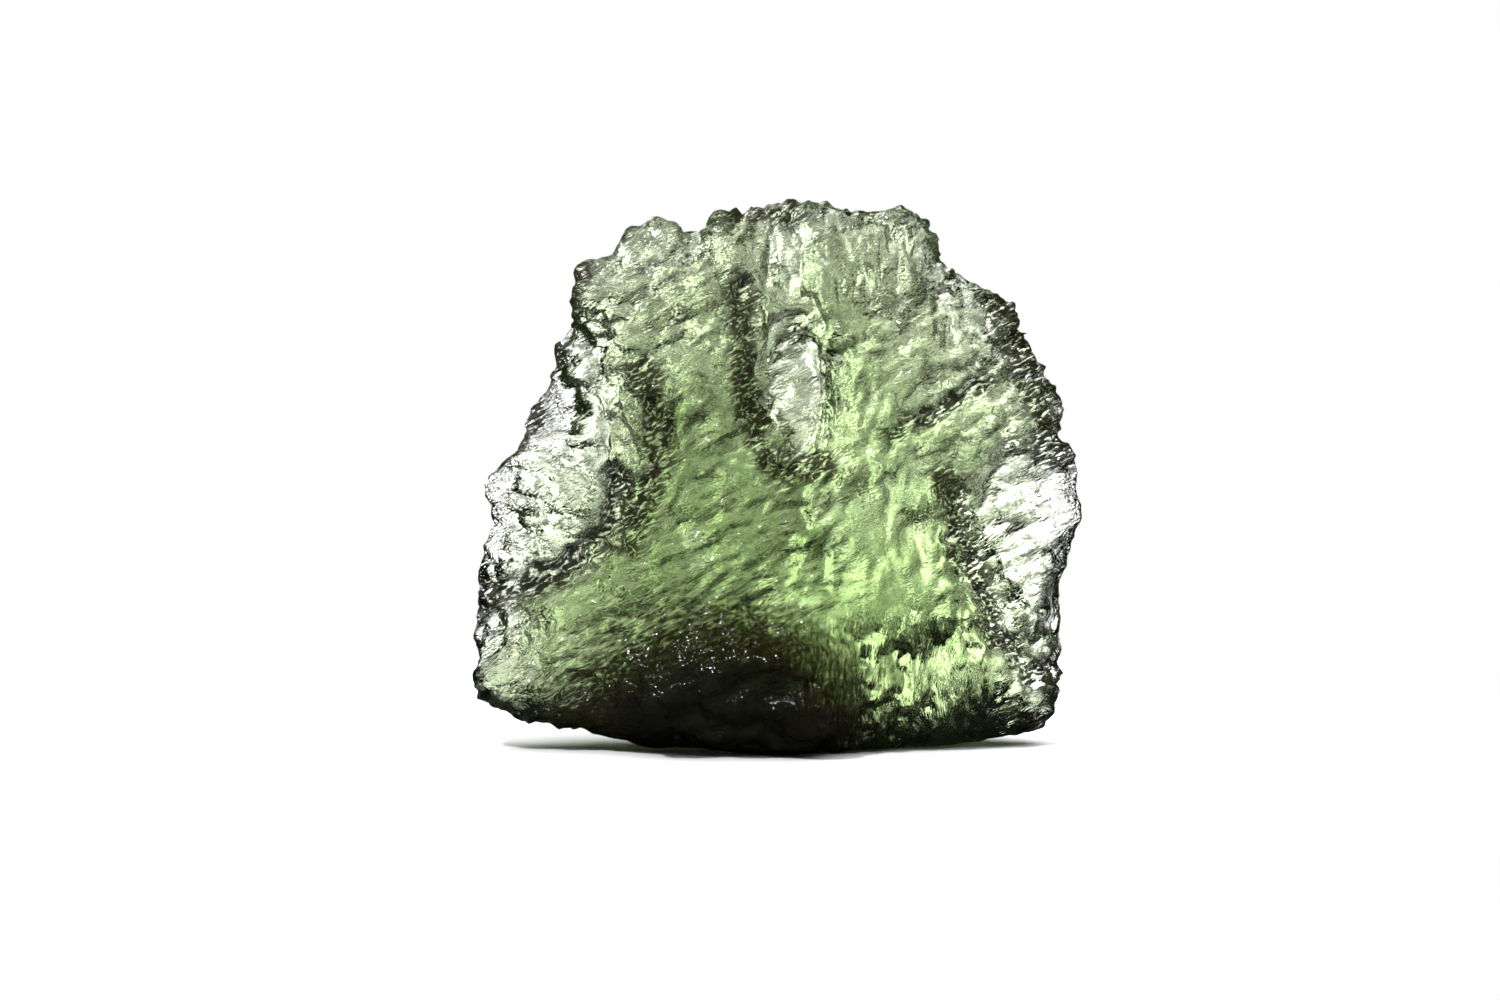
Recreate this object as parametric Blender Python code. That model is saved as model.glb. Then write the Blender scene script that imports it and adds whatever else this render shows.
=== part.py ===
"""A moldavite: one natural piece of green impact glass, etched in the soil into hollows, pits and flow ridges.

It stands upright on the small worn flat under its thick base. Metres, +Z up. The face with the
tongue-shaped hollow looks along -Y. Run with: blender --background --python part.py
"""

import math
from collections import namedtuple

import bmesh
import bpy
import numpy as np
from mathutils import Vector, noise

MM = 0.001

# Driving dimensions, in millimetres
WIDTH = 26.0
HEIGHT = 23.3
BASE_HALF_DEPTH = 4.4
TOP_HALF_DEPTH = 2.5
THINNING_HEIGHTS = (0.5, 21.0)
SIDE_THINNING = 0.34
THINNEST_SHARE = 0.28
FLOOR_SHARPNESS = 4.0
RIM_ROUNDNESS = 4.4
SIDEWAYS_BEND = 0.5
UPWARD_BEND = 0.35
GROUND_BLOCK = 40.0

# How fine the stone is modelled, and how many triangles it keeps
SPHERE_SUBDIVISIONS = 7
TRIANGLES = 9600

# The stone's outline from the front, clockwise from the lower left foot: (x, z) in millimetres
OUTLINE = [
    (-13.0, 2.9), (-12.7, 4.2), (-13.0, 5.2), (-13.0, 7.0), (-12.8, 8.6), (-12.4, 10.3), (-12.4, 11.5),
    (-11.9, 12.5), (-11.2, 13.2), (-11.0, 14.6), (-10.1, 15.2), (-9.8, 16.3), (-9.2, 17.4), (-8.6, 17.9),
    (-8.5, 19.7), (-7.9, 20.4), (-6.5, 21.7), (-5.8, 22.4), (-5.0, 22.7), (-4.0, 22.2), (-3.3, 22.3),
    (-2.8, 22.9), (-1.8, 22.9), (-0.7, 23.1), (0.2, 23.3), (1.2, 23.2), (3.1, 22.9), (5.0, 22.9),
    (6.0, 22.5), (6.6, 21.9), (6.6, 20.8), (7.4, 20.0), (8.5, 19.9), (9.3, 19.7), (9.9, 19.2),
    (10.5, 18.3), (10.3, 17.4), (11.1, 17.1), (11.4, 15.9), (11.9, 15.4), (12.2, 14.4), (12.0, 13.5),
    (12.6, 12.6), (13.0, 11.6), (12.8, 10.8), (13.0, 9.9), (12.4, 8.5), (12.3, 5.9), (12.2, 4.4),
    (11.9, 2.1), (11.1, 0.8), (10.0, 0.4), (8.5, -0.1), (5.1, -0.5), (-1.2, -0.5), (-3.7, -0.2),
    (-5.4, 0.3), (-7.0, 0.6), (-9.4, 0.9), (-11.0, 1.2), (-11.9, 1.4), (-12.7, 2.0),
]
CENTRE = (0.0, 11.3)

# A hollow or a swelling of one face: its middle (x, z), its two radii, its turn from +X in degrees, how far it
# goes in or out, and how much of the radius its wall takes
Form = namedtuple("Form", "x z long wide turn depth wall")

FRONT_HOLLOWS = {
    "left_scallop": Form(-10.8, 11.7, 5.9, 5.4, 100, 1.9, 0.28),
    "left_shoulder_shell": Form(-8.9, 15.6, 4.2, 3.0, 68, 1.5, 0.6),
    "right_scallop": Form(12.0, 7.6, 6.4, 4.9, 112, 2.2, 0.26),
    "tongue": Form(0.7, 15.2, 3.6, 1.7, 92, 2.6, 0.28),
    "tongue_channel": Form(0.3, 20.6, 2.2, 1.1, 86, 1.1, 0.5),
    "thumb_pit": Form(-1.5, 13.1, 1.2, 0.95, 60, 1.0, 0.5),
    "slanting_trough": Form(7.2, 15.2, 3.3, 1.35, 36, 0.95, 0.5),
    "upper_right_shell": Form(7.9, 18.0, 2.8, 1.6, 70, 0.6, 0.6),
    "upper_left_shell": Form(-5.4, 20.2, 3.2, 1.6, 28, 0.4, 0.6),
    "right_furrow": Form(6.5, 3.4, 3.2, 0.75, 78, 0.6, 0.9),
    "middle_furrow": Form(3.6, 2.6, 2.8, 0.6, 96, 0.6, 0.9),
    "lower_left_shell": Form(-12.3, 5.0, 3.4, 1.9, 18, 1.9, 0.55),
}
FRONT_SWELLINGS = {
    "base_lump": Form(-2.0, 2.4, 6.4, 4.3, 3, 2.0, 0.5),
    "lump_crown": Form(-1.2, 4.4, 2.2, 1.4, 10, 0.45, 0.9),
    "lump_left_knob": Form(-5.0, 2.8, 1.8, 1.6, 0, 0.5, 0.9),
    "lump_right_knob": Form(1.4, 2.0, 1.7, 1.6, 0, 0.5, 0.9),
    "left_foot": Form(-10.4, 2.2, 2.6, 1.5, -12, 0.8, 0.8),
    "left_rib": Form(-4.0, 13.8, 4.6, 1.8, 80, 0.9, 1.0),
    "right_rib": Form(4.0, 13.0, 5.2, 1.5, 96, 0.4, 1.0),
}
BACK_HOLLOWS = {
    "left_scallop": Form(-11.0, 11.6, 5.6, 4.9, 95, 1.1, 0.45),
    "right_scallop": Form(12.0, 8.0, 5.9, 4.6, 105, 1.2, 0.45),
    "high_scallop": Form(-3.6, 16.2, 4.6, 3.0, 40, 0.6, 0.5),
    "back_of_tongue": Form(0.9, 15.0, 3.4, 2.1, 92, 1.3, 0.5),
    "top_right_shell": Form(5.6, 19.4, 3.4, 1.9, -20, 0.5, 0.6),
    "middle_bowl": Form(1.8, 9.4, 3.2, 2.3, 25, 0.6, 0.5),
    "low_left_shell": Form(-12.0, 5.6, 3.4, 2.2, 20, 1.3, 0.55),
    "low_bowl": Form(-5.2, 4.4, 3.4, 2.0, -15, 0.5, 0.5),
    "low_right_trough": Form(5.8, 3.6, 3.6, 1.3, 35, 0.65, 0.6),
}
BACK_SWELLINGS = {
    "keel": Form(-0.4, 12.6, 5.6, 1.2, 62, 0.5, 1.0),
}

# Etch pits, scattered over both faces and round the rim; their depth is a share of their radius
PIT_SEED = 7
PIT_COUNT = 150
PIT_RADIUS = (0.7, 1.5)
PIT_DEPTH = 0.26
PITS_END = (0.80, 0.98)
RIM_PIT_SHARE = 0.3

# Flow relief: ridges that run along the drawn-out glass, broad swells and lumps round the rim, in millimetres
FLOW_TURN = math.radians(27)
FLOW_LENGTH = 3.4
FLOW_SPACING = 1.25
FLOW_HEIGHT = 0.24
SWELL_SIZE = 4.5
SWELL_HEIGHT = 0.32
SWELL_ORIGIN = Vector((5.2, 1.7, 9.1))
RIM_LUMP_SIZES = (2.3, 1.1)
RIM_LUMP_HEIGHT = 0.20
RIM_LUMP_ORIGIN = Vector((2.1, 8.3, 4.4))
RIM_LUMP_FADE = 6


def rim_distance(angles):
    """How far the rim lies from the centre, for each angle in radians."""
    corners = np.array(OUTLINE) - CENTRE
    turns = np.arctan2(corners[:, 1], corners[:, 0])
    order = np.argsort(turns)
    return np.interp(angles, turns[order], np.hypot(*corners[order].T), period=2 * math.pi)


def smooth_step(low, high, value):
    """Rises smoothly from 0 at low to 1 at high."""
    share = np.clip((value - low) / (high - low), 0, 1)
    return share * share * (3 - 2 * share)


def form_depth(form, x, z):
    """How far a form moves the face, at each point: a level floor or crown inside a smooth wall."""
    turn = math.radians(form.turn)
    along = (x - form.x) * math.cos(turn) + (z - form.z) * math.sin(turn)
    across = (z - form.z) * math.cos(turn) - (x - form.x) * math.sin(turn)
    away = np.hypot(along / form.long, across / form.wide)
    return form.depth * (1 - smooth_step(1 - form.wall, 1, away))


def face_depth(hollows, swellings, x, z):
    """The half thickness of one face. Where hollows meet, the deeper one counts, so that a ridge parts them."""
    plain = BASE_HALF_DEPTH + (TOP_HALF_DEPTH - BASE_HALF_DEPTH) * smooth_step(*THINNING_HEIGHTS, z)
    plain = plain * (1 - SIDE_THINNING * (x / (WIDTH / 2)) ** 2)
    raised = plain + sum(form_depth(swelling, x, z) for swelling in swellings.values())
    cut = np.max([form_depth(hollow, x, z) for hollow in hollows.values()], axis=0)
    least = THINNEST_SHARE * plain
    return least + np.logaddexp(0, FLOOR_SHARPNESS * (raised - cut - least)) / FLOOR_SHARPNESS


def formed_points(directions):
    """Points on the stone for points on a unit sphere whose poles look along -Y and +Y."""
    x_way, y_way, z_way = directions.T
    radius = np.clip(np.hypot(x_way, z_way), 1e-9, 1)
    angle = np.arctan2(z_way, x_way)
    reach = rim_distance(angle) * radius
    x = CENTRE[0] + reach * np.cos(angle)
    z = CENTRE[1] + reach * np.sin(angle)
    front = face_depth(FRONT_HOLLOWS, FRONT_SWELLINGS, x, z)
    back = face_depth(BACK_HOLLOWS, BACK_SWELLINGS, x, z)
    rounding = np.sqrt(np.clip(1 - radius**RIM_ROUNDNESS, 0, 1))
    bend = SIDEWAYS_BEND * np.sin(x / WIDTH * math.pi) - UPWARD_BEND * np.cos(z / HEIGHT * math.pi)
    return np.column_stack([x, bend + np.where(y_way < 0, -front, back) * rounding, z])


def flow_relief(point):
    """Swells and drawn-out ridges at a point, outwards, in millimetres."""
    along = point.x * math.cos(FLOW_TURN) + point.z * math.sin(FLOW_TURN)
    across = point.z * math.cos(FLOW_TURN) - point.x * math.sin(FLOW_TURN)
    ridge = noise.noise(Vector((along / FLOW_LENGTH, point.y / FLOW_SPACING, across / FLOW_SPACING)))
    swell = noise.noise(point / SWELL_SIZE + SWELL_ORIGIN)
    lump = sum(noise.noise(point / size + RIM_LUMP_ORIGIN) for size in RIM_LUMP_SIZES)
    rimward = min(1.0, math.hypot(point.x / (WIDTH / 2), (point.z - CENTRE[1]) / (HEIGHT / 2)))
    return FLOW_HEIGHT * ridge + SWELL_HEIGHT * swell + RIM_LUMP_HEIGHT * lump * rimward**RIM_LUMP_FADE


def etch_pits(points, normals):
    """Takes round pits out of the surface, at seeded places among the points. They are shallow at the rim."""
    dice = np.random.default_rng(PIT_SEED)
    depth = np.zeros(len(points))
    for place in points[dice.choice(len(points), PIT_COUNT, replace=False)]:
        radius = dice.uniform(*PIT_RADIUS)
        away = np.linalg.norm(points - place, axis=1) / radius
        depth = np.maximum(depth, PIT_DEPTH * radius * np.clip(1 - away**2, 0, 1))
    x_reach, z_reach = points[:, 0] - CENTRE[0], points[:, 2] - CENTRE[1]
    reach = np.hypot(x_reach, z_reach) / rim_distance(np.arctan2(z_reach, x_reach))
    depth *= 1 - (1 - RIM_PIT_SHARE) * smooth_step(*PITS_END, reach)
    return points - normals * depth[:, None]


def glass_material():
    """See-through bottle green glass with a slightly etched surface."""
    material = bpy.data.materials.new("moldavite_glass")
    material.use_nodes = True
    shader = material.node_tree.nodes["Principled BSDF"]
    shader.inputs["Base Color"].default_value = (0.36, 0.50, 0.24, 1)
    shader.inputs["Roughness"].default_value = 0.12
    shader.inputs["Metallic"].default_value = 0.0
    shader.inputs["IOR"].default_value = 1.49
    shader.inputs["Transmission Weight"].default_value = 0.6
    return material


def stone_mesh():
    """The whole stone as a fine mesh, in metres, before its triangles are thinned out."""
    shape = bmesh.new()
    bmesh.ops.create_icosphere(shape, subdivisions=SPHERE_SUBDIVISIONS, radius=1)
    points = formed_points(np.array([vertex.co for vertex in shape.verts]))
    for vertex, place in zip(shape.verts, points):
        vertex.co = place
    shape.normal_update()
    bmesh.ops.recalc_face_normals(shape, faces=shape.faces)
    normals = np.array([vertex.normal for vertex in shape.verts])
    points = etch_pits(points, normals)
    heights = np.array([flow_relief(Vector(point)) for point in points])
    points = points + normals * heights[:, None]
    middle = (points.min(axis=0) + points.max(axis=0)) / 2
    points[:, :2] -= middle[:2]
    for vertex, place in zip(shape.verts, points):
        vertex.co = Vector(place) * MM
    mesh = bpy.data.meshes.new("moldavite")
    shape.to_mesh(mesh)
    shape.free()
    return mesh


def ground_cutter(collection):
    """A block whose top face is the worn flat under the stone."""
    block = GROUND_BLOCK * MM
    bpy.ops.mesh.primitive_cube_add(size=block, location=(0, 0, -block / 2))
    cutter = bpy.context.object
    cutter.name = "ground_cutter"
    cutter.hide_render = True
    cutter.display_type = "WIRE"
    for holder in list(cutter.users_collection):
        holder.objects.unlink(cutter)
    collection.objects.link(cutter)
    return cutter


def build():
    """Clears the scene and makes the stone, with the flat cut under it."""
    for old in list(bpy.data.objects):
        bpy.data.objects.remove(old)
    stones = bpy.data.collections.new("moldavite")
    cutters = bpy.data.collections.new("cutters")
    bpy.context.scene.collection.children.link(stones)
    bpy.context.scene.collection.children.link(cutters)

    mesh = stone_mesh()
    mesh.materials.append(glass_material())
    stone = bpy.data.objects.new("moldavite", mesh)
    stones.objects.link(stone)
    thin = stone.modifiers.new("fewer_triangles", "DECIMATE")
    thin.ratio = TRIANGLES / len(mesh.polygons)
    cut = stone.modifiers.new("worn_flat", "BOOLEAN")
    cut.operation = "DIFFERENCE"
    cut.solver = "EXACT"
    cut.object = ground_cutter(cutters)


build()
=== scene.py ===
# %% [markdown]
# # A moldavite in soft studio light
# Moldavite is natural green glass. A meteorite impact threw it out as melt, it froze in the air, and the
# soil etched its skin for millions of years. The real stone is one piece, so this scene has one piece too.
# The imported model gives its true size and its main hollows, and everything here works on a copy of it.

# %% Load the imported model
import math
from collections import namedtuple

import bmesh
import bpy
import numpy as np
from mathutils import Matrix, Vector, noise
from mathutils.bvhtree import BVHTree


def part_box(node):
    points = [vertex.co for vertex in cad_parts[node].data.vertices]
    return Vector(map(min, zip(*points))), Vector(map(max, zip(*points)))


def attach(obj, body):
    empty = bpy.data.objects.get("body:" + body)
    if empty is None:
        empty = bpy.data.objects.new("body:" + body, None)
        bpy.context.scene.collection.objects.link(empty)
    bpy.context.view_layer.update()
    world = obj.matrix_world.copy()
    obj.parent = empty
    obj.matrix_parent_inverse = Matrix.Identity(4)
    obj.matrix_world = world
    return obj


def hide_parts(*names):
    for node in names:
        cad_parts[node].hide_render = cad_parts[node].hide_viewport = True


MM = 0.001
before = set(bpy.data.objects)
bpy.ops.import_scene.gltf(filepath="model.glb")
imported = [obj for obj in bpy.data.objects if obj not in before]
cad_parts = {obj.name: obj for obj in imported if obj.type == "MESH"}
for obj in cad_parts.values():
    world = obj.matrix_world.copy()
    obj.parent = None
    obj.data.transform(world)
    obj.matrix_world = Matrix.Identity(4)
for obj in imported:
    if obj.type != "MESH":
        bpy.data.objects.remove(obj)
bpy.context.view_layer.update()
low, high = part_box("moldavite")
print("packed stone, mm:", [round(size / MM, 2) for size in high - low])

# %% [markdown]
# ## The blank
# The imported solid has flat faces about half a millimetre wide. The stone's finer relief needs far smaller
# ones, all of one size. They could come from subdividing, but a voxel remesh gives squares of the same size
# everywhere, and a few rounds of smoothing then melt the old facets together, like a sculptor's blank.

# %% Remesh a copy of the solid
VOXEL = 0.138 * MM
WELD_DISTANCE = 0.001 * MM
SMOOTHING_STEP = 0.5
SMOOTHING_ROUNDS = 18


def even_skin(source, name):
    """A copy of source with one even skin of small faces."""
    skin = bpy.data.objects.new(name, source.data.copy())
    bpy.context.scene.collection.objects.link(skin)
    skin.data.materials.clear()
    weld = skin.modifiers.new("weld", "WELD")
    weld.merge_threshold = WELD_DISTANCE
    remesh = skin.modifiers.new("remesh", "REMESH")
    remesh.mode = "VOXEL"
    remesh.voxel_size = VOXEL
    smooth = skin.modifiers.new("smooth", "SMOOTH")
    smooth.factor = SMOOTHING_STEP
    smooth.iterations = SMOOTHING_ROUNDS
    bpy.context.view_layer.update()
    finished = skin.evaluated_get(bpy.context.evaluated_depsgraph_get())
    mesh = bpy.data.meshes.new_from_object(finished)
    skin.modifiers.clear()
    skin.data = mesh
    return skin


stone = even_skin(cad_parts["moldavite"], "moldavite_stone")
print("blank:", len(stone.data.vertices), "points")

# %% [markdown]
# A remesh can leave loose crumbs where a rim is thinner than two of its squares. The stone is one piece, so
# only the largest connected skin is kept.

# %% Keep one closed skin
def crumbs_of(shape):
    """The points of all connected pieces but the largest."""
    waiting = set(shape.verts)
    pieces = []
    while waiting:
        piece = [waiting.pop()]
        for point in piece:
            for link in point.link_edges:
                neighbour = link.other_vert(point)
                if neighbour in waiting:
                    waiting.remove(neighbour)
                    piece.append(neighbour)
        pieces.append(piece)
    pieces.sort(key=len)
    return [point for piece in pieces[:-1] for point in piece]


shape = bmesh.new()
shape.from_mesh(stone.data)
crumbs = crumbs_of(shape)
bmesh.ops.delete(shape, geom=crumbs, context="VERTS")
shape.to_mesh(stone.data)
shape.free()
print("crumbs taken away:", len(crumbs), "points")

# %% [markdown]
# ## Working on the points
# Sculpting by hand can't be repeated, so the relief is worked out with arrays: one row for each point of the
# mesh, in millimetres.

# %% Read and write the mesh as arrays
def points_of(mesh):
    values = np.empty(len(mesh.vertices) * 3, np.float32)
    mesh.vertices.foreach_get("co", values)
    return values.reshape(-1, 3).astype(float) / MM


def normals_of(mesh):
    values = np.empty(len(mesh.vertices) * 3, np.float32)
    mesh.vertex_normals.foreach_get("vector", values)
    return values.reshape(-1, 3).astype(float)


def place_points(mesh, points):
    mesh.vertices.foreach_set("co", (points * MM).astype(np.float32).ravel())
    mesh.update()


points = points_of(stone.data)
normals = normals_of(stone.data)
print("rows of points and normals:", len(points), len(normals))

# %% [markdown]
# Thin rims can carry only shallow relief, so the thickness of the glass is measured first. A ray runs from
# each point through the glass to the other side. It starts a little below the skin, because it would meet the
# face that it comes from otherwise.

# %% Measure the glass
RAY_START = 0.02
PERCENTILES_SHOWN = (1, 10, 50, 90)


def ray_lengths(tree, starts, directions):
    """How far a ray runs from each start until it meets the skin, in millimetres."""
    hits = [tree.ray_cast(Vector(start), Vector(way))[3] for start, way in zip(starts, directions)]
    return np.array([0.0 if distance is None else distance for distance in hits])


skin_tree = BVHTree.FromPolygons(points.tolist(), [face.vertices[:] for face in stone.data.polygons])
thickness = ray_lengths(skin_tree, points - RAY_START * normals, -normals)
print("thickness, mm:", np.percentile(thickness, PERCENTILES_SHOWN).round(2))

# %% [markdown]
# ## A sharp rim
# The blank's rim is round, and a round glass rim bends the light so far that it shows as a thick black line.
# A broken and etched rim is thin and splintery, and stays bright. So each point near the rim moves towards
# the middle of the glass, the more so the less glass there is between the two faces. A ray that starts right
# on the rim can run through the whole width of the stone, so half the depth there limits its thickness too.

# %% Thin the rim
FULL_HALF = 1.0
RIM_SHARE = 0.5
RIM_STARTS_ABOVE = (0.6, 2.2)
EDGE_REACH = 0.8
THICKNESS_PER_HALF = 3


def smooth_step(low_end, high_end, value):
    """Rises smoothly from 0 at low_end to 1 at high_end."""
    share = np.clip((value - low_end) / (high_end - low_end), 0, 1)
    return share * share * (3 - 2 * share)


facing = np.abs(normals[:, 1])
ways = np.where(normals[:, 1] < 0, 1.0, -1.0)
to_middle = np.outer(ways, (0, 1, 0))
half = ray_lengths(skin_tree, points + RAY_START * to_middle, to_middle) / 2
kept = RIM_SHARE + (1 - RIM_SHARE) * smooth_step(0, FULL_HALF, half)
thinning = half * (1 - kept) * smooth_step(*RIM_STARTS_ABOVE, points[:, 2])
points[:, 1] += ways * thinning
thickness *= 1 - (1 - kept) * facing
thickness = np.minimum(thickness, EDGE_REACH * (1 - facing) + THICKNESS_PER_HALF * half)
place_points(stone.data, points)
normals = normals_of(stone.data)
print("rim moved by up to, mm:", round(float(thinning.max()), 2))

# %% [markdown]
# ## Walls and strands
# Most dark lines in the glass are steep walls and narrow grooves, where light from behind is bent away from
# the eye. Each one is a path of a few points on the face, x and z in millimetres, with half its width and its
# depth. The broad hollow at the lower right is cut in the same way.

# %% Grooves of the face
Groove = namedtuple("Groove", "half_width depth path")
GROOVES = {
    "left_wall": Groove(
        0.80, 1.3, [(-6.9, 11.4), (-7.1, 9.9), (-8.0, 8.7), (-9.3, 7.4), (-11.0, 6.8), (-12.8, 6.3)]
    ),
    "left_inner_strand": Groove(0.45, 0.75, [(-5.4, 12.0), (-5.9, 10.4), (-6.4, 9.3), (-6.5, 8.5)]),
    "left_upper_strand": Groove(0.38, 0.65, [(-5.4, 15.0), (-5.2, 13.1), (-5.4, 11.4)]),
    "left_upper_twin": Groove(0.42, 0.65, [(-4.5, 14.8), (-4.6, 13.1), (-5.0, 11.6)]),
    "right_wall": Groove(
        0.65, 1.2, [(7.4, 11.4), (7.5, 9.7), (7.6, 8.0), (8.3, 7.0), (9.2, 5.5), (9.5, 4.2)]
    ),
    "right_wall_foot": Groove(0.55, 0.9, [(9.5, 4.2), (10.2, 3.5), (11.1, 3.0), (11.6, 2.2)]),
    "right_outer_strand": Groove(0.36, 0.55, [(6.7, 9.8), (6.8, 8.0)]),
    "right_low_strand": Groove(0.36, 0.55, [(7.6, 6.4), (7.9, 4.2)]),
    "tongue_left_wall": Groove(
        0.60, 0.9, [(-1.3, 19.5), (-1.1, 17.4), (-1.0, 15.7), (-0.8, 14.4), (-0.4, 13.1)]
    ),
    "tongue_end": Groove(0.45, 0.9, [(-0.6, 12.7), (0.2, 11.9), (1.1, 11.9), (1.9, 12.5), (2.1, 13.2)]),
    "tongue_right_line": Groove(0.30, 0.45, [(1.5, 19.0), (1.7, 17.4), (2.1, 14.8), (2.1, 13.1)]),
    "trough_border": Groove(0.48, 0.85, [(4.7, 13.2), (5.3, 13.7), (6.4, 14.2), (7.5, 14.8), (8.3, 15.4)]),
    "trough_upper_line": Groove(0.25, 0.4, [(7.6, 16.0), (8.9, 15.9)]),
    "right_edge_curl": Groove(0.28, 0.45, [(9.4, 15.4), (10.2, 15.8), (11.0, 15.7)]),
    "right_low_hollow": Groove(2.2, 1.3, [(13.2, 7.0), (12.8, 3.0)]),
}
print("grooves:", len(GROOVES))

# %% [markdown]
# Short upright flutes bend the light from behind towards the eye and show as bright streaks. They are all
# alike, so the list holds only where each one starts, x and z, and how far down it reaches.

# %% Upright flutes
FLUTE_HALF_WIDTH = 0.50
FLUTE_DEPTH = 0.36
FLUTE_LEAN = 0.1
FLUTE_PLACES = [
    (3.6, 2.7, 0.7), (4.9, 4.4, 2.7), (4.8, 2.1, 0.7), (6.2, 2.0, 0.5), (1.4, 3.2, 2.2), (2.8, 1.6, 0.8),
    (3.5, 5.0, 4.2), (-1.0, 6.5, 5.3), (0.3, 9.1, 7.3), (1.8, 8.4, 7.2), (1.0, 11.7, 9.9), (4.6, 11.4, 9.8),
    (5.6, 9.8, 8.0), (2.6, 17.0, 13.6), (1.4, 19.0, 17.3), (-0.7, 22.2, 19.6), (1.1, 22.3, 20.3),
    (7.0, 19.0, 17.0), (-7.7, 16.8, 15.0), (-7.4, 14.4, 12.9), (-6.6, 15.8, 14.7),
]
FLUTES = {
    f"flute_{number}": Groove(FLUTE_HALF_WIDTH, FLUTE_DEPTH, [(start_x, top), (start_x + FLUTE_LEAN, foot)])
    for number, (start_x, top, foot) in enumerate(FLUTE_PLACES)
}
print("flutes:", len(FLUTES))

# %% [markdown]
# Clean paths would look drawn, so noise pushes them sideways and they wander like etched ones. Noise also
# makes their depth uneven. They are cut into the front only, and go through no more than a share of the
# glass.

# %% Work out the cuts
Warp = namedtuple("Warp", "reach grain")
WARPS = [Warp(0.40, 1.1), Warp(0.22, 0.4)]
WARP_X_ORIGIN = (3.1, 0.4, 7.7)
WARP_Z_ORIGIN = (8.2, 5.5, 1.3)
ROUND_BOTTOM = 1.5
UNEVENNESS = 0.7
UNEVEN_GRAIN = (0.9, 0.9, 0.9)
UNEVEN_ORIGIN = (2.2, 6.1, 4.9)
DEEPEST_SHARE = 0.42
FACE_TURN = (0.05, 0.40)


def path_distance(x, z, path):
    """How far each point lies from a path made of straight pieces."""
    nearest = np.full(len(x), np.inf)
    for (x0, z0), (x1, z1) in zip(path, path[1:]):
        along_x, along_z = x1 - x0, z1 - z0
        share = ((x - x0) * along_x + (z - z0) * along_z) / (along_x**2 + along_z**2)
        share = np.clip(share, 0, 1)
        nearest = np.minimum(nearest, np.hypot(x - x0 - share * along_x, z - z0 - share * along_z))
    return nearest


def noise_of(places, sizes, origin):
    """Soft noise from -1 to 1 at each place, with its own grain size along x, y and z."""
    scaled = places / np.array(sizes) + np.array(origin)
    return np.array([noise.noise(Vector(spot)) for spot in scaled])


def wander(places, origin):
    """How far the paths are pushed sideways at each place."""
    return sum(warp.reach * noise_of(places, (warp.grain,) * 3, origin) for warp in WARPS)


def groove_depth(grooves, x, z):
    """The depth of the deepest groove at each point."""
    deepest = np.zeros(len(x))
    for groove in grooves.values():
        away = path_distance(x, z, groove.path) / groove.half_width
        deepest = np.maximum(deepest, groove.depth * np.clip(1 - away**2, 0, 1) ** ROUND_BOTTOM)
    return deepest


front = smooth_step(*FACE_TURN, -normals[:, 1])
warped_x = points[:, 0] + wander(points, WARP_X_ORIGIN)
warped_z = points[:, 2] + wander(points, WARP_Z_ORIGIN)
inwards = front * groove_depth(GROOVES | FLUTES, warped_x, warped_z)
inwards *= 1 + UNEVENNESS * noise_of(points, UNEVEN_GRAIN, UNEVEN_ORIGIN)
inwards = np.minimum(inwards, DEEPEST_SHARE * thickness)
print("deepest groove, mm:", round(float(inwards.max()), 2))

# %% [markdown]
# Some borders are more than a line: a whole band of the face is steep, rough and dark. These bands are paths
# too, and they give one weight. Later it makes the relief rougher and lays strokes of painted shade into the
# bands.

# %% Steep bands
Wall = namedtuple("Wall", "half_width path")
WALLS = {
    "left": Wall(1.10, [(-5.8, 16.2), (-5.3, 14.6), (-4.9, 13.3), (-5.3, 12.0), (-5.8, 10.7), (-6.2, 9.1)]),
    "left_foot": Wall(
        1.00, [(-6.8, 11.4), (-7.1, 9.6), (-8.2, 8.4), (-9.2, 7.5), (-10.8, 7.0), (-13.0, 6.2)]
    ),
    "right": Wall(
        0.90, [(6.9, 11.7), (7.5, 10.4), (7.9, 8.2), (8.6, 6.9), (9.2, 4.8), (10.1, 3.9), (11.7, 2.6)]
    ),
    "tongue": Wall(0.95, [(-1.6, 19.4), (-1.5, 16.0), (-1.0, 14.2), (-0.4, 12.7), (0.5, 11.8), (1.7, 12.1)]),
    "trough": Wall(0.70, [(4.7, 13.4), (6.6, 14.2), (7.7, 14.9), (8.8, 15.6)]),
    "top": Wall(0.75, [(-1.9, 22.6), (0.8, 22.9)]),
    "left_shoulder": Wall(0.80, [(-8.8, 19.4), (-8.2, 20.9), (-7.1, 21.9)]),
    "left_rim": Wall(0.70, [(-8.9, 17.5), (-9.6, 15.9), (-10.4, 14.3), (-11.9, 12.4)]),
    "right_rim": Wall(1.25, [(9.8, 18.4), (10.7, 16.2), (11.3, 14.2), (12.0, 12.2)]),
    "right_foot": Wall(0.80, [(11.7, 2.8), (12.6, 1.4)]),
}
WALL_EDGE = (0.35, 1)

away = [path_distance(warped_x, warped_z, wall.path) / wall.half_width for wall in WALLS.values()]
on_wall = 1 - smooth_step(*WALL_EDGE, np.min(away, axis=0))
print("share of the points on a wall:", round(float(on_wall.mean()), 2))

# %% [markdown]
# ## Etched relief
# Acid water eats small bowls into the glass, and where bowls meet, sharp ridges stay. A cell noise makes that
# form: the square of the distance to the nearest cell centre is a bowl, and the ridges are where two bowls
# cross. Softer noise adds blobs and strokes. All of it is drawn out along the way the glass once flowed,
# which differs from place to place, and each layer's grain is a share of the flow's own length and spacing.

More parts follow.
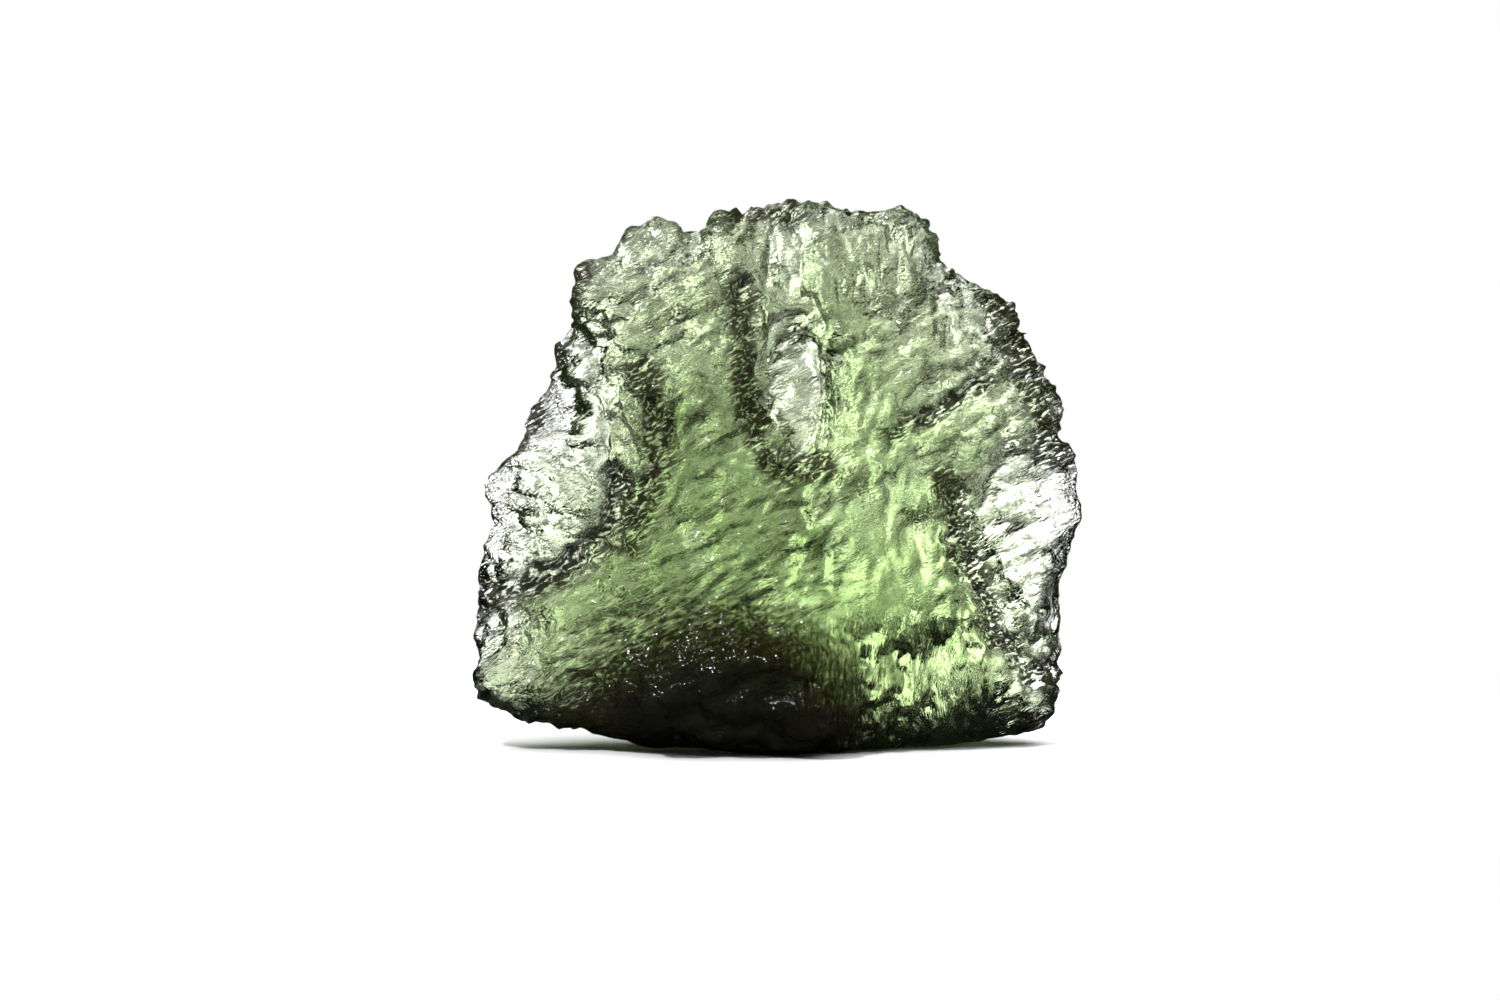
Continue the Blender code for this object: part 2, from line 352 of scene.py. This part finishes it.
# %% Bowls and strokes that run one way
Flow = namedtuple("Flow", "turn length spacing height")
FLOWS = {
    "slanting": Flow(28, 1.25, 0.46, 1.0),
    "level": Flow(-4, 1.3, 0.46, 0.8),
    "rising": Flow(22, 1.3, 0.44, 0.8),
    "steep": Flow(68, 1.2, 0.46, 0.9),
    "upright": Flow(87, 1.5, 0.46, 0.95),
}
Layer = namedtuple("Layer", "height along inwards across")
BLOBS = Layer(0.23, 1.1, 1.0, 2.0)
BOWLS = Layer(0.20, 1.0, 1.1, 1.9)
STROKES = Layer(0.20, 1.0, 0.7, 1.0)
FINE_STROKES = Layer(0.15, 0.5, 0.4, 0.5)
BLOB_ORIGIN = (5, 3, 8)
STROKE_ORIGIN = (4, 1, 9)
FINE_STROKE_ORIGIN = (1, 7, 2)


def turned(places, turn):
    """The places seen along and across a direction on the face."""
    angle = math.radians(turn)
    along = places[:, 0] * math.cos(angle) + places[:, 2] * math.sin(angle)
    across = places[:, 2] * math.cos(angle) - places[:, 0] * math.sin(angle)
    return np.column_stack([along, places[:, 1], across])


def bowls(places, sizes):
    """Squared distance to the nearest cell centre: bowls with sharp ridges between them."""
    scaled = places / np.array(sizes)
    return np.array([noise.voronoi(Vector(spot))[0][0] for spot in scaled]) ** 2


def grain_of(flow, layer):
    """The grain of one layer along the flow, into the glass and across the flow."""
    return flow.length * layer.along, layer.inwards, flow.spacing * layer.across


def flow_relief(places, flow):
    """The height of bowls and strokes that all run one way, in millimetres."""
    lined_up = turned(places, flow.turn)
    height = BLOBS.height * noise_of(lined_up, grain_of(flow, BLOBS), BLOB_ORIGIN)
    height += BOWLS.height * bowls(lined_up, grain_of(flow, BOWLS))
    height += STROKES.height * noise_of(lined_up, grain_of(flow, STROKES), STROKE_ORIGIN)
    height += FINE_STROKES.height * noise_of(lined_up, grain_of(flow, FINE_STROKES), FINE_STROKE_ORIGIN)
    return flow.height * (height - height.mean())


print("ways of flow, degrees:", [flow.turn for flow in FLOWS.values()])

# %% [markdown]
# Each way of flow rules some oval regions, and the slanting one rules the rest. Where two ways meet, both are
# mixed, with weights whose squares add up to one, so that the mixture is as rough as either. An oval is its
# middle, x and z, and its two radii. The relief is stronger in some more ovals and on the steep bands.

# %% Mix the flows
OVAL_CORE = 0.55
LOWER_RIGHT = (4.5, 3.0, 6.5, 4.5)
REGIONS = {
    "level": [(-10.6, 10.4, 4.8, 4.6), (0.8, 14.8, 1.5, 2.8)],
    "rising": [(11.2, 8.0, 4.6, 6.4)],
    "steep": [(-5.6, 12.6, 2.2, 5.4), (3.6, 13.0, 2.2, 4.5)],
    "upright": [LOWER_RIGHT, (2.0, 21.3, 5.5, 3.0), (5.0, 9.4, 2.6, 3.6), (-1.5, 17.4, 1.3, 3.0)],
}
ROUGHER = [
    (-2.8, 15.0, 3.4, 4.6), (-2.0, 8.6, 6.0, 3.6), (-5.5, 19.6, 4.0, 3.4),
    (-10.2, 11.2, 3.6, 4.0), (4.8, 20.4, 3.2, 2.8), (8.8, 14.4, 3.6, 2.8),
]
EXTRA_ROUGHNESS = 0.65
WALL_ROUGHNESS = 0.9
HEIGHTS_SHOWN = (1, 50, 99)


def oval(places, middle_x, middle_z, radius_x, radius_z):
    """1 in the middle of an oval, falling smoothly to 0 at its edge."""
    away = np.hypot((places[:, 0] - middle_x) / radius_x, (places[:, 2] - middle_z) / radius_z)
    return 1 - smooth_step(OVAL_CORE, 1, away)


def in_ovals(places, ovals):
    """The highest weight that any of the ovals gives to each place."""
    return np.max([oval(places, *sizes) for sizes in ovals], axis=0)


shares = {name: in_ovals(points, ovals) for name, ovals in REGIONS.items()}
shares["slanting"] = np.clip(1 - sum(shares.values()), 0, 1)
strength = np.sqrt(sum(share**2 for share in shares.values()))
relief = sum(share / strength * flow_relief(points, FLOWS[name]) for name, share in shares.items())
relief *= 1 + np.maximum(EXTRA_ROUGHNESS * in_ovals(points, ROUGHER), WALL_ROUGHNESS * on_wall)
print("relief, mm:", np.percentile(relief, HEIGHTS_SHOWN).round(2))

# %% [markdown]
# ## The base lump
# The dark lump at the foot of the front is covered with small round knobs that overlap like scales. The same
# cell noise makes them when it is turned over: domes with creases between them, with a fine grain on top.

# %% Knobs on the lump
LUMP = (-1.8, 2.2, 6.8, 4.6)
KNOB_SIZES = (1.625, 1.25, 1.25)
KNOB_SHIFT = (0.3, 0, 0.6)
KNOB_HEIGHT = 0.7
KNOB_LEVEL = 0.35
GRAIN_HEIGHT = 0.10
GRAIN_SIZES = (0.3, 0.3, 0.3)
GRAIN_ORIGIN = (6, 2, 3)
RELIEF_TAKEN = 0.7

on_lump = front * oval(points, *LUMP)
knobs = KNOB_HEIGHT * (KNOB_LEVEL - bowls(points + KNOB_SHIFT, KNOB_SIZES))
grain = GRAIN_HEIGHT * noise_of(points, GRAIN_SIZES, GRAIN_ORIGIN)
relief = relief * (1 - RELIEF_TAKEN * on_lump) + (knobs + grain) * on_lump
print("knobs, mm:", np.percentile(knobs, HEIGHTS_SHOWN).round(2))

# %% [markdown]
# ## Lay the relief on the blank
# Grooves go straight into the face and the relief stands on the skin's own normals. It is shallower on thin
# glass and in the smoother floor of the tongue. The stone rests on a small worn flat, so the relief fades out
# there, nothing goes below the ground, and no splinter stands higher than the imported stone.

# %% Move the points
FLAT_FADE = (0.02, 0.5)
FULL_RELIEF_THICKNESS = 1.6
LEAST_RELIEF_SHARE = 0.15
SMOOTHER = [(0.8, 15.0, 1.7, 2.9), (-1.3, 12.9, 1.0, 0.9)]
SMOOTHER_SHARE = 0.65

smoother = in_ovals(points, SMOOTHER)
fade = np.clip(thickness / FULL_RELIEF_THICKNESS, LEAST_RELIEF_SHARE, 1)
fade *= smooth_step(*FLAT_FADE, points[:, 2])
fade *= 1 - (1 - SMOOTHER_SHARE) * smoother
points += normals * (relief * fade)[:, None]
points[:, 1] += inwards
points[:, 2] = np.clip(points[:, 2], 0, high.z / MM)
place_points(stone.data, points)
stone.data.shade_smooth()
print("stone, mm:", np.ptp(points, axis=0).round(2))

# %% [markdown]
# Two weights stay with the points for the material. One marks the steep bands, which get strokes of painted
# shade. The other one marks where the glass is steep or thin, because its finest etching shows most there.

# %% Weights for the material
THIN_GLASS = (0.4, 1.6)

wall_weight = front * on_wall
thin_weight = 1 - smooth_step(*THIN_GLASS, thickness)
weights = {"walls": wall_weight, "etching": np.maximum(wall_weight, thin_weight) * (1 - smoother)}
for name, values in weights.items():
    attribute = stone.data.attributes.new(name, "FLOAT", "POINT")
    attribute.data.foreach_set("value", values.astype(np.float32))
    print(name, "on average:", round(float(values.mean()), 2))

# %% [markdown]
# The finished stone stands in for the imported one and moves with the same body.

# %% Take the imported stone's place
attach(stone, "root")
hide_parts("moldavite")
print("faces:", len(stone.data.polygons))

# %% [markdown]
# ## Shader maths as Python
# A material is a graph of nodes. Writing it as sums and products is far easier to read than links, so one
# small class wraps an output socket and turns Python's operators into Math nodes.

# %% A socket that can be calculated with
class Wire:
    """One output of a shader node."""

    def __init__(self, tree, socket=None):
        self.tree = tree
        self.socket = socket

    def node(self, kind, settings=None, sockets=None, output=0):
        """Adds a node, with its settings first and then its sockets, and gives one of its outputs."""
        node = self.tree.nodes.new(kind)
        for name, value in (settings or {}).items():
            setattr(node, name, value)
        for name, value in (sockets or {}).items():
            if isinstance(value, Wire):
                self.tree.links.new(value.socket, node.inputs[name])
            else:
                node.inputs[name].default_value = value
        return Wire(self.tree, node.outputs[output])

    def math(self, operation, *values):
        return self.node("ShaderNodeMath", {"operation": operation}, dict(enumerate(values)))

    def __add__(self, other):
        return self.math("ADD", self, other)

    def __radd__(self, other):
        return self.math("ADD", other, self)

    def __sub__(self, other):
        return self.math("SUBTRACT", self, other)

    def __rsub__(self, other):
        return self.math("SUBTRACT", other, self)

    def __mul__(self, other):
        return self.math("MULTIPLY", self, other)

    def __rmul__(self, other):
        return self.math("MULTIPLY", other, self)

    def __truediv__(self, other):
        return self.math("DIVIDE", self, other)

    def __pow__(self, other):
        return self.math("POWER", self, other)

    def __abs__(self):
        return self.math("ABSOLUTE", self)

    def smooth(self, low_end, high_end):
        """Rises smoothly from 0 at low_end to 1 at high_end."""
        sockets = {"Value": self, "From Min": low_end, "From Max": high_end}
        return self.node("ShaderNodeMapRange", {"interpolation_type": "SMOOTHSTEP"}, sockets)

    def feed(self, socket):
        self.tree.links.new(self.socket, socket)


# %% [markdown]
# ## Green glass
# The glass is clear, and its green comes only from its depth: thin rims are almost white and the thick base
# is nearly black. A green surface colour would be the same everywhere. Volume absorption deepens as the real
# glass does.

# %% Clear glass that is green inside
WHITE = (1, 1, 1, 1)
GLASS_IOR = 1.49
ABSORPTION_COLOUR = (0.43, 0.56, 0.22, 1)
ABSORPTION_DENSITY = 370

glass = bpy.data.materials.new("moldavite_glass")
glass.use_nodes = True
clear = glass.node_tree.nodes["Principled BSDF"]
clear.inputs["Base Color"].default_value = WHITE
clear.inputs["IOR"].default_value = GLASS_IOR
clear.inputs["Transmission Weight"].default_value = 1.0
glass_output = glass.node_tree.nodes["Material Output"]
graph = Wire(glass.node_tree)
absorption = {"Color": ABSORPTION_COLOUR, "Density": ABSORPTION_DENSITY}
graph.node("ShaderNodeVolumeAbsorption", None, absorption).feed(glass_output.inputs["Volume"])
stone.data.materials.append(glass)
print("glass: index", GLASS_IOR, "and absorption", ABSORPTION_DENSITY, "a metre")

# %% [markdown]
# Every mask and every noise in the glass is laid out by the place on the stone. The finest strokes run
# upright in the lower right oval and slant elsewhere, as the relief does.

# %% Fine strokes
STROKE_GRAIN = (0.60 * MM, 0.25 * MM, 0.15 * MM)
SLANTING_TURN = 27
UPRIGHT_TURN = 86
UPRIGHT_EDGE = (0.5, 1)
NOISE_DETAIL = 2.0

place = graph.node("ShaderNodeTexCoord", output="Object")
place_x, place_y, place_z = (
    graph.node("ShaderNodeSeparateXYZ", None, {"Vector": place}, output=axis) for axis in "XYZ"
)


def stroke_noise(turn):
    """Noise drawn out along one direction on the face."""
    mapping = {"Vector": place, "Rotation": (0, -math.radians(turn), 0), "Scale": STROKE_GRAIN}
    lined_up = graph.node("ShaderNodeMapping", {"vector_type": "TEXTURE"}, mapping)
    return graph.node("ShaderNodeTexNoise", None, {"Vector": lined_up, "Scale": 1.0, "Detail": NOISE_DETAIL})


def oval_away(middle_x, middle_z, radius_x, radius_z):
    """0 in the middle of an oval and 1 at its edge."""
    across = (place_x - middle_x * MM) / (radius_x * MM)
    upwards = (place_z - middle_z * MM) / (radius_z * MM)
    return (across * across + upwards * upwards) ** 0.5


upright = 1 - oval_away(*LOWER_RIGHT).smooth(*UPRIGHT_EDGE)
strokes = stroke_noise(SLANTING_TURN) * (1 - upright) + stroke_noise(UPRIGHT_TURN) * upright
print("glass nodes with the strokes:", len(glass.node_tree.nodes))

# %% [markdown]
# The strokes are sharp creases, which appear where the noise crosses its middle value. They are too small for
# the mesh, so a bump shows them, stronger on steep and thin glass. Some patches of the skin are etched to a
# satin and the others stay glossy.

# %% Creases and satin patches
NOISE_MIDDLE = 0.5
FINE_BUMP = 0.115 * MM
ETCHED_SHARE = 1.6
PATCHES_PER_MM = 0.45
PATCH_EDGE = (0.45, 0.65)
GLOSSY = 0.02
SATIN = 0.12


def weight_of(name):
    """One of the weights that stayed with the points."""
    return graph.node("ShaderNodeAttribute", {"attribute_name": name}, output="Fac")


creases = abs(strokes - NOISE_MIDDLE) * (1 + ETCHED_SHARE * weight_of("etching"))
fine_bump = graph.node("ShaderNodeBump", None, {"Strength": 1.0, "Distance": FINE_BUMP, "Height": creases})
fine_bump.feed(clear.inputs["Normal"])
patch_noise = {"Vector": place, "Scale": PATCHES_PER_MM / MM, "Detail": NOISE_DETAIL}
patches = graph.node("ShaderNodeTexNoise", None, patch_noise)
roughness = GLOSSY + (SATIN - GLOSSY) * patches.smooth(*PATCH_EDGE)
roughness.feed(clear.inputs["Roughness"])
print("glass roughness from", GLOSSY, "to", SATIN)

# %% [markdown]
# ## Painted shade
# The front of the lump is painted dark in place of the shade of its thick glass: a second, almost opaque
# shader, black in the middle and a lighter painted olive towards its edge, with a bump of small cells whose
# tiny facets sparkle.

# %% Painted shade on the lump
# Painted shade: near black for the thick lump, and a lighter painted olive at its edge.
PAINTED_SHADE_COLOUR = (0.0025, 0.0022, 0.0008, 1)
PAINTED_FRINGE_COLOUR = (0.016, 0.014, 0.0035, 1)
PAINTED_SHADE_ROUGHNESS = 0.11
GRAINS_PER_MM = 5.0
GRAIN_BUMP = 0.08 * MM
LUMP_SHADE_OVAL = (-2.6, 0.9, 8.3, 7.1)
FRAYING = 0.8
OLIVE_EDGE = (0.4, 0.9)


def colour_between(share, first, second):
    """A mixed colour. A Mix node has its colours at 6 and 7, and the mixed one at 2 of its outputs."""
    return graph.node("ShaderNodeMix", {"data_type": "RGBA"}, {0: share, 6: first, 7: second}, output=2)


shade_fringe = oval_away(*LUMP_SHADE_OVAL) + FRAYING * (strokes - NOISE_MIDDLE)
shade_tint = colour_between(shade_fringe.smooth(*OLIVE_EDGE), PAINTED_SHADE_COLOUR, PAINTED_FRINGE_COLOUR)
cells = graph.node("ShaderNodeTexVoronoi", None, {"Vector": place, "Scale": GRAINS_PER_MM / MM})
grainy = {"Strength": 1.0, "Distance": GRAIN_BUMP, "Height": cells, "Normal": fine_bump}
shade_bump = graph.node("ShaderNodeBump", None, grainy)
shade_sockets = {"Base Color": shade_tint, "Roughness": PAINTED_SHADE_ROUGHNESS, "IOR": GLASS_IOR, "Normal": shade_bump}
painted_shade = graph.node("ShaderNodeBsdfPrincipled", None, shade_sockets)
print("grains of the dark skin, mm:", 1 / GRAINS_PER_MM)

# %% [markdown]
# A mask mixes the two shaders. The painted shade covers the front of the lump and frays out along the
# strokes, and thin strokes of painted shade lie in the steep bands, where light from behind is bent away.

# %% Lay the painted shade over the glass
LUMP_SHADE_SHARE = 0.97
LUMP_SHADE_EDGE = (0.6, 1.0)
LUMP_SHADE_DEPTH = (-1.2 * MM, 0.2 * MM)
WALL_SHADE_SHARE = 0.96
WALL_SHADE_STROKES = (0.48, 0.60)

# Painted shade over the front of the lump, fraying out at its edge.
lump_shade = LUMP_SHADE_SHARE * (1 - shade_fringe.smooth(*LUMP_SHADE_EDGE)) * (1 - place_y.smooth(*LUMP_SHADE_DEPTH))
# Thin strokes of painted shade in the steep bands.
wall_shade = WALL_SHADE_SHARE * weight_of("walls") * (1 - strokes.smooth(*WALL_SHADE_STROKES))
shade_cover = graph.math("MAXIMUM", lump_shade, wall_shade)
bare = Wire(glass.node_tree, clear.outputs["BSDF"])
graph.node("ShaderNodeMixShader", None, {0: shade_cover, 1: bare, 2: painted_shade}).feed(glass_output.inputs["Surface"])
print("glass nodes:", len(glass.node_tree.nodes))

# %% [markdown]
# ## The floor
# A plain pale disc, just large enough for the stone's shadow and for what its low parts show of the ground.
# Beyond its edge the camera sees the white of the studio, so the edge can't be seen. Its mirror image on the
# stone is dimmed, as a dark card would do it, because a bright floor would lay a grey veil over the lump.

# %% Floor
FLOOR_RADIUS = 38 * MM
FLOOR_CORNERS = 128
FLOOR_PAINT = 0.88
FLOOR_ROUGHNESS = 0.5
FLOOR_SPECULAR = 0.2
MIRRORED_SHARE = 0.03


def in_mirror(wire):
    """1 for a ray that was mirrored and not bent through the glass."""
    glossy = wire.node("ShaderNodeLightPath", output="Is Glossy Ray")
    bent = wire.node("ShaderNodeLightPath", output="Is Transmission Ray")
    return glossy * (1 - bent)


bpy.ops.mesh.primitive_circle_add(vertices=FLOOR_CORNERS, radius=FLOOR_RADIUS, fill_type="NGON")
floor = bpy.context.object
floor.name = "floor"
paint = bpy.data.materials.new("floor_paint")
paint.use_nodes = True
floor_shader = paint.node_tree.nodes["Principled BSDF"]
floor_shader.inputs["Roughness"].default_value = FLOOR_ROUGHNESS
floor_shader.inputs["Specular IOR Level"].default_value = FLOOR_SPECULAR
ground = Wire(paint.node_tree)
shade = FLOOR_PAINT * (1 - (1 - MIRRORED_SHARE) * in_mirror(ground))
grey = ground.node("ShaderNodeCombineColor", None, {"Red": shade, "Green": shade, "Blue": shade})
grey.feed(floor_shader.inputs["Base Color"])
floor.data.materials.append(paint)
print("floor, mm across:", round(2 * FLOOR_RADIUS / MM))

# %% [markdown]
# ## Light
# Glass shows only what lies behind it. A soft panel glows behind the stone, with a small and much hotter one
# beside it at the right and a fainter one at the left, while the rest of the studio is dim. Straight rays see
# the even panel, rays bent a little see a hot one, and rays bent far by a steep wall see the dim room, which
# draws the black lines. Weaker panels at the other sides let the stone glow from there too. Each panel is a
# soft disc in the sky: its azimuth turns from behind the stone to the right, and all angles are in degrees.

# %% Studio panels
Panel = namedtuple("Panel", "azimuth elevation inner outer brightness")
PANELS = {
    "behind": Panel(-1, -8, 11, 22, 0.59),
    "hot_right": Panel(18, -7, 5, 12, 6.6),
    "hot_left": Panel(-17, -4, 4, 10, 2.2),
    "front": Panel(176, -6, 12, 25, 0.8),
    "hot_front": Panel(194, -2, 5, 14, 2.0),
    "right": Panel(90, -4, 12, 25, 0.8),
    "left": Panel(270, -4, 12, 25, 0.8),
}
ROOM_BRIGHTNESS = 0.02

world = bpy.data.worlds.new("studio")
bpy.context.scene.world = world
world.use_nodes = True
sky = Wire(world.node_tree)
way = sky.node("ShaderNodeTexCoord", output="Generated")


def panel_glow(panel):
    """Brightness of one panel: full inside its inner angle and nothing beyond its outer one."""
    turn, rise = math.radians(panel.azimuth), math.radians(panel.elevation)
    centre = (math.sin(turn) * math.cos(rise), math.cos(turn) * math.cos(rise), math.sin(rise))
    directions = {0: way, 1: centre}
    nearness = sky.node("ShaderNodeVectorMath", {"operation": "DOT_PRODUCT"}, directions, output="Value")
    edges = math.cos(math.radians(panel.outer)), math.cos(math.radians(panel.inner))
    return panel.brightness * nearness.smooth(*edges)


glow = sum((panel_glow(panel) for panel in PANELS.values()), ROOM_BRIGHTNESS)
print("panels:", ", ".join(PANELS))

# %% [markdown]
# The camera itself sees plain white instead of the panels, and mirrored rays see them dimmed like the floor.

# %% White studio behind the stone
seen = sky.node("ShaderNodeLightPath", output="Is Camera Ray")
dimmed = glow * (1 - (1 - MIRRORED_SHARE) * in_mirror(sky))
backdrop = dimmed + seen * (1 - dimmed)
background = world.node_tree.nodes["Background"]
background.inputs["Color"].default_value = WHITE
backdrop.feed(background.inputs["Strength"])
print("studio nodes:", len(world.node_tree.nodes))

# %% [markdown]
# A very wide soft lamp overhead lights the floor and draws the soft shadow under the stone. A narrow lamp
# lights the floor behind the stone on the right, so that the low parts, which look down on it, glow too. A
# softbox above the camera gives the front a faint satin sheen, and a small lamp adds the tiny white glints.

# %% Lamps
FLOOR_LIGHT = 6.0
FLOOR_LIGHT_WIDTH = math.radians(100)
TABLE_POWER = 3.0
TABLE_CONE = math.radians(17)
TABLE_BLEND = 0.7
TABLE_LAMP_RADIUS = 2 * MM
TABLE_LAMP_PLACE = Vector((20, 60, 100)) * MM
TABLE_SPOT = Vector((16, 20, 0)) * MM
SOFTBOX_SIZE = 160 * MM
SOFTBOX_POWER = 0.02
SOFTBOX_PLACE = Vector((-50, -200, 240)) * MM
GLINT_SIZE = 20 * MM
GLINT_POWER = 0.6
GLINT_PLACE = Vector((-100, -150, 220)) * MM
OVERHEAD = Vector((0, 0, 1000)) * MM
STONE_FOOT = Vector((0, 0, 0))


def add_lamp(name, kind, settings, location, aim):
    """A lamp that shines from its location towards aim, and that no ray bent through the glass can see."""
    light = bpy.data.lights.new(name, kind)
    for setting, value in settings.items():
        setattr(light, setting, value)
    lamp = bpy.data.objects.new(name, light)
    lamp.location = location
    lamp.rotation_euler = (location - aim).to_track_quat("Z", "Y").to_euler()
    lamp.visible_transmission = False
    bpy.context.scene.collection.objects.link(lamp)
    return lamp


wide = {"energy": FLOOR_LIGHT, "angle": FLOOR_LIGHT_WIDTH}
add_lamp("floor_light", "SUN", wide, OVERHEAD, STONE_FOOT).visible_glossy = False
narrow = {
    "energy": TABLE_POWER,
    "spot_size": TABLE_CONE,
    "spot_blend": TABLE_BLEND,
    "shadow_soft_size": TABLE_LAMP_RADIUS,
}
add_lamp("table_light", "SPOT", narrow, TABLE_LAMP_PLACE, TABLE_SPOT).visible_glossy = False
softbox = {"shape": "DISK", "size": SOFTBOX_SIZE, "energy": SOFTBOX_POWER}
add_lamp("softbox", "AREA", softbox, SOFTBOX_PLACE, STONE_FOOT)
glint = {"shape": "DISK", "size": GLINT_SIZE, "energy": GLINT_POWER}
add_lamp("glint_light", "AREA", glint, GLINT_PLACE, STONE_FOOT)
print("lamps:", [light.name for light in bpy.data.lights])

# %% [markdown]
# ## Camera
# The photograph looks at the stone almost level, from far away with a long lens. The distance follows from
# the stone's real width and from how wide it shows there, and the shift puts it at its place in the frame.

# %% Camera
PHOTO_WIDTH = 1500
PHOTO_HEIGHT = 1000
STONE_WIDTH = 26.0 * MM
STONE_WIDTH_PIXELS = 614
STONE_MIDDLE_PIXEL = (779, 475)
ELEVATION = math.radians(4)
RIGHT_ANGLE = math.radians(90)
LENS = 100
SENSOR = 36
NEAREST_SEEN = 5 * MM

camera = bpy.data.objects.new("camera", bpy.data.cameras.new("camera"))
bpy.context.scene.collection.objects.link(camera)
bpy.context.scene.camera = camera
camera.data.lens = LENS
camera.data.sensor_width = SENSOR
camera.data.clip_start = NEAREST_SEEN
field_width = PHOTO_WIDTH * STONE_WIDTH / STONE_WIDTH_PIXELS
distance = field_width * LENS / SENSOR
middle = Vector((0, 0, (high.z + low.z) / 2))
camera.location = middle + Vector((0, -math.cos(ELEVATION), math.sin(ELEVATION))) * distance
camera.rotation_euler = (RIGHT_ANGLE - ELEVATION, 0, 0)
camera.data.shift_x = (PHOTO_WIDTH / 2 - STONE_MIDDLE_PIXEL[0]) / PHOTO_WIDTH
camera.data.shift_y = (STONE_MIDDLE_PIXEL[1] - PHOTO_HEIGHT / 2) / PHOTO_WIDTH
bpy.context.scene.view_settings.view_transform = "Standard"
print("camera distance, mm:", round(distance / MM))
